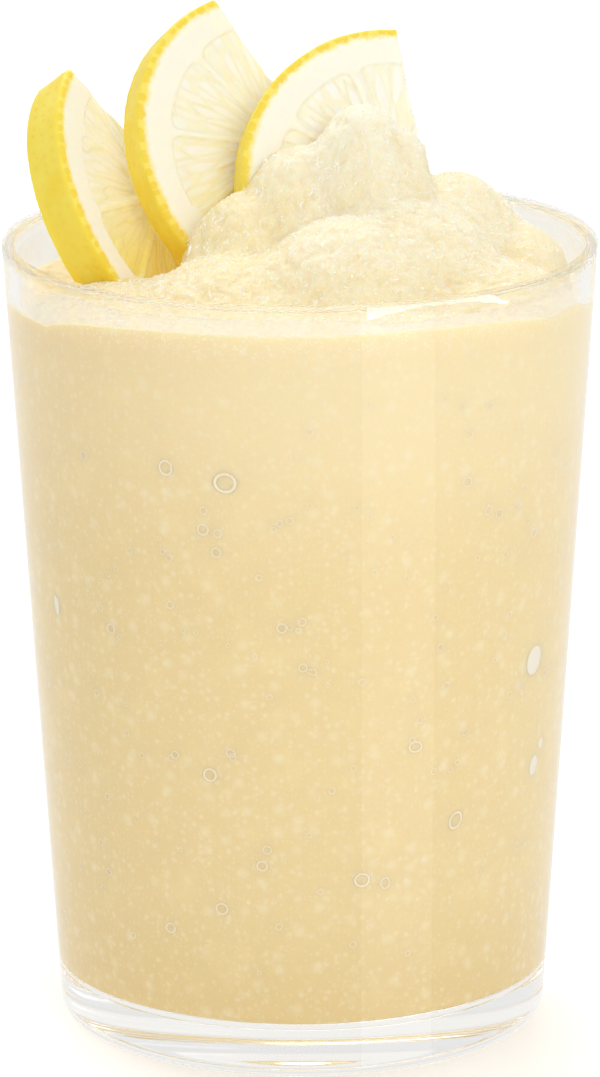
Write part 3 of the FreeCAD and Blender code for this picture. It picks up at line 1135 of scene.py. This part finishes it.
class GRANITA_OT_veil(bpy.types.Operator):
    """Coat the inside of the wall with melt, from the granita up to the lip"""

    bl_idname = "granita.veil"
    bl_label = "Melt on the Wall"

    def execute(self, context):
        settings = context.scene.granita_veil
        bottom, top = settings.bottom, settings.top
        heights = [bottom + (top - bottom) * share for share in (0.0, 0.2, 0.4, 0.6, 0.8, 1.0)]
        outer = [(wall_at(z) - settings.clearance, z) for z in heights]
        inner = [(radius - settings.thickness, z) for radius, z in reversed(outer)]
        piece = lathe("wall_melt", outer + inner + outer[:1], TURNED_STEPS)
        points = points_of(piece)
        around = np.arctan2(points[:, 1], points[:, 0])
        share = (points[:, 2] - bottom) / (top - bottom)
        waves = 0.5 * np.sin(3 * around + 1) + 0.3 * np.sin(7 * around) + 0.2 * np.sin(13 * around + 2)
        radius = np.hypot(points[:, 0], points[:, 1])
        raised = points[:, 2] + share * waves * settings.wave
        wider = wall_at(raised) - wall_at(points[:, 2])
        points[:, :2] *= (1 + wider / radius)[:, None]
        points[:, 2] = raised
        move_points(piece, points)
        finish_piece(piece, melt(settings))
        return {"FINISHED"}


class GRANITA_OT_bubbles(bpy.types.Operator):
    """Lay air bubbles against the inside of the glass"""

    bl_idname = "granita.bubbles"
    bl_label = "Bubbles"

    def execute(self, context):
        settings = context.scene.granita_bubbles
        generator = np.random.default_rng(9)
        rings = list(LARGE_RINGS)
        for _ in range(settings.rings):
            around = generator.uniform(-180, 180)
            height = 14 + 92 * generator.uniform() ** 0.8
            width = settings.ring_size / MM * generator.lognormal(0.0, 0.25)
            tall, lean = generator.uniform(0.85, 1.2), generator.uniform(-40, 40)
            rings.append(Bubble(around, height, width, tall, lean))
        deselect()
        bpy.ops.mesh.primitive_torus_add(
            major_segments=14, minor_segments=5, major_radius=0.5, minor_radius=RING_ROUND
        )
        edges = self.lay("wall_bubbles", rings, settings.line / (2 * RING_ROUND), sink=-0.1)
        finish_piece(edges, air("bubble edge", settings.colour))
        deselect()
        bpy.ops.mesh.primitive_uv_sphere_add(segments=20, ring_count=12, radius=0.5)
        pockets = self.lay("air_pockets", AIR_POCKETS, 0.5 * MM, sink=0.0)
        finish_piece(pockets, air("air pocket", settings.pocket_colour))
        smooth(edges, pockets)
        return {"FINISHED"}

    def lay(self, name, bubbles, depth, sink):
        """Copies the shape just added, one unit wide, to the wall for every bubble."""
        to_triangles()
        pattern = named(name + " pattern")
        sizes = np.array([(b.width * MM, b.width * b.tall * MM, depth) for b in bubbles])
        return scatter(name, pattern, wall_places(bubbles, sink), wall_turns(bubbles), sizes)


def mottling(points, size):
    """Soft noise at each point, with patches about that wide."""
    return np.array([noise.noise(Vector(point) / size) for point in points])


def cell_tree(points):
    """The middles of cells, ready to be searched for the nearest."""
    tree = kdtree.KDTree(len(points))
    for index, point in enumerate(points):
        tree.insert(point, index)
    tree.balance()
    return tree


def vesicles(radius, angle, z, settings, generator):
    """How far each point is inside its juice vesicle, 0 to 1, and the vesicle's own tone."""
    pitch = settings.vesicle / MM / FLESH_RADIUS
    run = settings.vesicle_length / MM
    seeds = []
    for column in range(math.ceil(2 * math.pi / pitch)):
        shift = generator.uniform()
        for row in range(VESICLE_ROWS):
            for layer in range(*VESICLE_LAYERS):
                jitter = generator.uniform(-0.42, 0.42, 3)
                seeds.append((column + jitter[0], row + shift + jitter[1], layer + jitter[2]))
    tones = generator.uniform(size=len(seeds))
    tree = cell_tree(seeds)
    inside = np.zeros(len(radius))
    tone = np.zeros(len(radius))
    for index, place in enumerate(zip((angle % (2 * math.pi)) / pitch, radius / run, z / VESICLE_DEPTH)):
        (_, nearest, first), (_, _, second) = tree.find_n(place, 2)
        inside[index] = second - first
        tone[index] = tones[nearest]
    return np.clip(inside / 0.55, 0, 1), tone


def glands(cut, run, depth, z, settings, generator):
    """How far each point is inside an oil gland, and how near the line out from one."""
    spacing = settings.gland_spacing / MM
    seeds = []
    for row in range(-1, math.ceil(cut.thickness / spacing) + 1):
        for number in range(math.ceil(2 * math.pi * LEMON_RADIUS / spacing)):
            jitter = generator.uniform(-0.5, 0.5, 3)
            along = (number + jitter[0] * 0.7) * spacing
            back = -(row + 0.08 + jitter[2] * 0.35) * spacing
            seeds.append((along, 0.55 + jitter[1] * 0.4, back))
    reach = generator.uniform(0.6, 1.0, len(seeds))
    tree = cell_tree(seeds)
    flat = cell_tree([(seed[0], 0.0, seed[2]) for seed in seeds])
    gland = np.zeros(len(run))
    pore = np.zeros(len(run))
    for index in np.nonzero(depth < GLAND_REACH)[0]:
        _, nearest, distance = tree.find((run[index], depth[index], z[index]))
        gland[index] = distance / reach[nearest]
        _, _, pore[index] = flat.find((run[index], 0.0, z[index]))
    return 1 - smooth_step(0.55, 1.25, gland), 1 - smooth_step(0.1, 0.55, pore)


def segment_depth(radius, angle):
    """Distance in from the edge of the segment of flesh that a point lies in."""
    pitch = math.radians(SEGMENT_PITCH)
    off_middle = np.abs((angle - pitch / 2) % pitch - pitch / 2)
    to_pith = FLESH_RADIUS - radius
    to_membrane = radius * np.sin(np.maximum(pitch / 2 - off_middle, 0)) - SEGMENT_GAP / 2
    corner = SEGMENT_ROUND - np.hypot(SEGMENT_ROUND - to_pith, SEGMENT_ROUND - to_membrane)
    in_corner = (to_pith < SEGMENT_ROUND) & (to_membrane < SEGMENT_ROUND)
    return np.where(in_corner, corner, np.minimum(to_pith, to_membrane))


class GRANITA_OT_lemon(bpy.types.Operator):
    """Cut the half slices of lemon"""

    bl_idname = "granita.lemon"
    bl_label = "Lemon Slices"

    def execute(self, context):
        settings = context.scene.granita_lemon
        material = lemon_fruit(settings)
        for number, cut in enumerate(LEMON_SLICES, start=1):
            piece = self.blank(cut, number, settings)
            self.carve(piece, cut, number, settings)
            deselect()
            smooth(piece)
            finish_piece(piece, material)
            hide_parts(cut.node)
        return {"FINISHED"}

    def blank(self, cut, number, settings):
        """A fine, even mesh of the slice that the frame holds."""
        deselect()
        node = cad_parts[cut.node]
        node.select_set(True)
        bpy.context.view_layer.objects.active = node
        bpy.ops.object.duplicate()
        piece = named(f"lemon_half_slice_{number}")
        for key in list(piece.keys()):
            del piece[key]
        piece.parent = None
        edit_all()
        bpy.ops.mesh.customdata_custom_splitnormals_clear()
        bpy.ops.mesh.remove_doubles(threshold=0.005 * MM)
        leave_edit()
        remesh = piece.modifiers.new("fine mesh", "REMESH")
        remesh.mode = "VOXEL"
        remesh.voxel_size = settings.voxel
        bpy.ops.object.modifier_apply(modifier=remesh.name)
        return piece

    def carve(self, piece, cut, number, settings):
        """Vesicles, membranes, pores and an uneven skin, and the values the finish needs."""
        generator = np.random.default_rng(20 + number)
        points = points_of(piece)
        normals = normals_of(piece)
        x, y, z = cut.local(points).T
        radius = np.hypot(x, y)
        angle = np.arctan2(y, x)
        depth = cut.skin_radius(angle, z) - radius
        facing = np.abs(normals @ np.array(cut.out))
        on_cut = smooth_step(0.5, 0.9, normals @ np.array(cut.across))
        on_skin = smooth_step(0.55, 0.25, facing) * smooth_step(0.35, 0.1, depth) * (1 - on_cut)
        fibre = mottling(points, PITH_FIBRE * MM)
        flesh = smooth_step(-0.15, 0.75, segment_depth(radius, angle) + 0.5 * fibre) * (1 - on_skin)
        inside, tone = vesicles(radius, angle, z, settings, generator)
        off_core = smooth_step(2.5, 8.0, radius)
        inside = 1 - (1 - inside) * off_core
        tone = 0.3 + (tone - 0.3) * off_core
        flesh = np.maximum(flesh, (1 - off_core) * (1 - on_skin))
        run = (angle % (2 * math.pi)) * LEMON_RADIUS
        gland, pore = glands(cut, run, depth, z, settings, generator)
        relief = settings.vesicle_relief / MM
        lift = flesh * (relief * (smooth_step(0.0, 0.8, inside) - 0.65) + VESICLE_STEP * (tone - 0.5))
        lift -= flesh * on_cut * MEMBRANE_DROP
        lift -= (1 - flesh) * smooth_step(0.0, 0.6, FLESH_RADIUS - radius) * MEMBRANE_DROP
        lift -= on_skin * pore * settings.pore_depth / MM
        lift += on_skin * (SKIN_RELIEF * mottling(points, SKIN_WAVE * MM) - SKIN_DROP)
        lift += (1 - flesh) * (1 - on_skin) * PITH_RELIEF * fibre
        move_points(piece, points + normals * lift[:, None] * MM)
        within = smooth_step(0.0, 0.8, FLESH_RADIUS - radius) * (1 - on_skin)
        store(piece, "parts", np.column_stack([gland, np.maximum(flesh, 0.6 * within), inside]))
        dense = smooth_step(0.45, 0.95, tone)
        store(piece, "cut", np.column_stack([depth, dense, on_skin]))


class GRANITA_OT_stage(bpy.types.Operator):
    """Set the floor, the lights and the camera"""

    bl_idname = "granita.stage"
    bl_label = "Stage"

    def execute(self, context):
        settings = context.scene.granita_stage
        self.lay_floor(settings)
        self.lay_card("long card", left=(14, 12), right=(32, 27), near=1.0, far=310.5, strength=1.6)
        self.lay_card(
            "bright card", left=(14, 13), right=(48, 45), near=312.5, far=336.0, strength=11.0,
            taper=0.97, lift=15.0,
        )
        self.light_room(context.scene, settings)
        self.hang_softbox(
            "softbox", settings.key, place=(0.5, -1.05, 0.8), size=(0.6, 0.95), aim=(0, 0, 0.08)
        )
        self.hang_softbox(
            "top light", settings.top, place=(-0.25, 0.75, 1.1), size=(0.9, 0.7), aim=(0, 0, 0.12)
        )
        self.place_camera(context.scene, settings)
        context.scene.view_settings.view_transform = "Standard"
        for kind in ("max_bounces", "glossy_bounces", "transmission_bounces", "transparent_max_bounces"):
            setattr(context.scene.cycles, kind, settings.bounces)
        context.scene.cycles.diffuse_bounces = settings.soft_bounces
        return {"FINISHED"}

    def lay_floor(self, settings):
        deselect()
        bpy.ops.mesh.primitive_plane_add(size=8.0, location=(0, 0, -0.2 * MM))
        floor = named("floor")
        finish = Finish("floor")
        mottled = finish.rise(finish.noise(0.4), 0.3, 0.7, 0.0, 0.05)
        tone = finish.blend(mottled, settings.floor, (0.8, 0.8, 0.8))
        matt = finish.node("ShaderNodeBsdfDiffuse", {"Color": tone}).outputs["BSDF"]
        lit = finish.node("ShaderNodeAddShader")
        finish.put(lit.inputs[0], matt)
        finish.put(lit.inputs[1], finish.glow(0.22))
        rays = finish.rays()
        seen = finish.mix_shader(rays["Is Camera Ray"], matt, lit.outputs[0])
        seen = finish.mix_shader(rays["Is Glossy Ray"], seen, finish.glow(1.0))
        finish.output(finish.mix_shader(rays["Is Transmission Ray"], seen, finish.glow(0.9, (1, 0.985, 0.95))))
        floor.data.materials.append(finish.material)

    def lay_card(self, name, left, right, near, far, strength, taper=0.0, lift=0.0):
        """A bright card on the floor, seen only mirrored in the wall of the glass.

        Left and right are where its mirror image lies on the wall, in degrees round from the front, down by
        the base and up by the lip; near and far are the distances from the wall, in millimetres. Taper is how
        much of its depth has gone at the right, and lift how much farther off it lies there.
        """
        deselect()
        bpy.ops.mesh.primitive_grid_add(x_subdivisions=8, y_subdivisions=8, size=1)
        card = named(name)
        grid = points_of(card)
        across = grid[:, 0] + 0.5
        away = far + lift * across - (0.5 - grid[:, 1]) * (1 - taper * across) * (far - near)
        up = away / MIRRORED_AT_LIP
        first = left[0] + (left[1] - left[0]) * up
        last = right[0] + (right[1] - right[0]) * up
        around = np.radians(first + across * (last - first))
        wall = outer_radius(up * GLASS_HEIGHT)
        x = wall * np.sin(around) + away * np.sin(2 * around)
        y = -wall * np.cos(around) - away * np.cos(2 * around)
        move_points(card, np.column_stack([x, y, np.full(len(x), 0.3)]) * MM)
        finish = Finish(name)
        mirrored = finish.rays()["Is Glossy Ray"]
        finish.output(finish.mix_shader(mirrored, finish.clear(), finish.glow(strength)))
        card.data.materials.append(finish.material)

    def light_room(self, scene, settings):
        world = bpy.data.worlds.new("room")
        scene.world = world
        world.use_nodes = True
        tree = world.node_tree
        tree.nodes.clear()
        rays = tree.nodes.new("ShaderNodeLightPath").outputs
        even = tree.nodes.new("ShaderNodeBackground")
        even.inputs["Strength"].default_value = settings.daylight
        white = tree.nodes.new("ShaderNodeBackground")
        white.inputs["Strength"].default_value = 1.0
        last = even.outputs[0]
        for ray in ("Is Camera Ray", "Is Glossy Ray", "Is Transmission Ray"):
            mix = tree.nodes.new("ShaderNodeMixShader")
            tree.links.new(rays[ray], mix.inputs[0])
            tree.links.new(last, mix.inputs[1])
            tree.links.new(white.outputs[0], mix.inputs[2])
            last = mix.outputs[0]
        tree.links.new(last, tree.nodes.new("ShaderNodeOutputWorld").inputs["Surface"])

    def hang_softbox(self, name, power, place, size, aim):
        deselect()
        bpy.ops.object.light_add(type="AREA", location=place)
        lamp = named(name)
        lamp.data.energy = power
        lamp.data.shape = "RECTANGLE"
        lamp.data.size, lamp.data.size_y = size
        toward = Vector(aim) - Vector(place)
        lamp.rotation_mode = "QUATERNION"
        lamp.rotation_quaternion = toward.to_track_quat("-Z", "Y")

    def place_camera(self, scene, settings):
        raised = settings.elevation
        ahead = Vector((0, math.cos(raised), -math.sin(raised)))
        aim = Vector(settings.aim)
        deselect()
        bpy.ops.object.camera_add(location=aim - ahead * settings.distance)
        camera = named("camera")
        right = Vector((1, 0, 0))
        up = right.cross(ahead)
        turned = right * math.cos(settings.roll) + up * math.sin(settings.roll)
        upright = up * math.cos(settings.roll) - right * math.sin(settings.roll)
        camera.rotation_mode = "QUATERNION"
        camera.rotation_quaternion = Matrix((turned, upright, -ahead)).transposed().to_quaternion()
        camera.data.lens = settings.lens
        camera.data.sensor_width = 36.0
        camera.data.clip_start = 0.05
        camera.data.clip_end = 50.0
        scene.camera = camera


class GRANITA_PT_panel(bpy.types.Panel):
    """Settings and steps of the granita"""

    bl_idname = "GRANITA_PT_panel"
    bl_label = "Lemon Granita"
    bl_space_type = "VIEW_3D"
    bl_region_type = "UI"
    bl_category = "Granita"

    def draw(self, context):
        for step in STEPS:
            box = self.layout.box()
            box.operator("granita." + step)
            settings = getattr(context.scene, "granita_" + step)
            for key in settings.bl_rna.properties.keys():
                if key not in ("rna_type", "name"):
                    box.prop(settings, key)


STEPS = {
    "glass": (GRANITA_PG_glass, GRANITA_OT_glass),
    "granita": (GRANITA_PG_granita, GRANITA_OT_granita),
    "ice": (GRANITA_PG_ice, GRANITA_OT_ice),
    "veil": (GRANITA_PG_veil, GRANITA_OT_veil),
    "bubbles": (GRANITA_PG_bubbles, GRANITA_OT_bubbles),
    "lemon": (GRANITA_PG_lemon, GRANITA_OT_lemon),
    "stage": (GRANITA_PG_stage, GRANITA_OT_stage),
}
CLASSES = [made for step in STEPS.values() for made in step] + [GRANITA_PT_panel]


def register():
    for made in CLASSES:
        bpy.utils.register_class(made)
    for step, (group, _) in STEPS.items():
        setattr(bpy.types.Scene, "granita_" + step, PointerProperty(type=group))


def unregister():
    for step in STEPS:
        delattr(bpy.types.Scene, "granita_" + step)
    for made in reversed(CLASSES):
        bpy.utils.unregister_class(made)


def main():
    register()
    bpy.ops.granita.glass()
    bpy.ops.granita.granita()
    bpy.ops.granita.ice()
    bpy.ops.granita.veil()
    bpy.ops.granita.bubbles()
    bpy.ops.granita.lemon()
    bpy.ops.granita.stage()


if __name__ == "__main__":
    main()
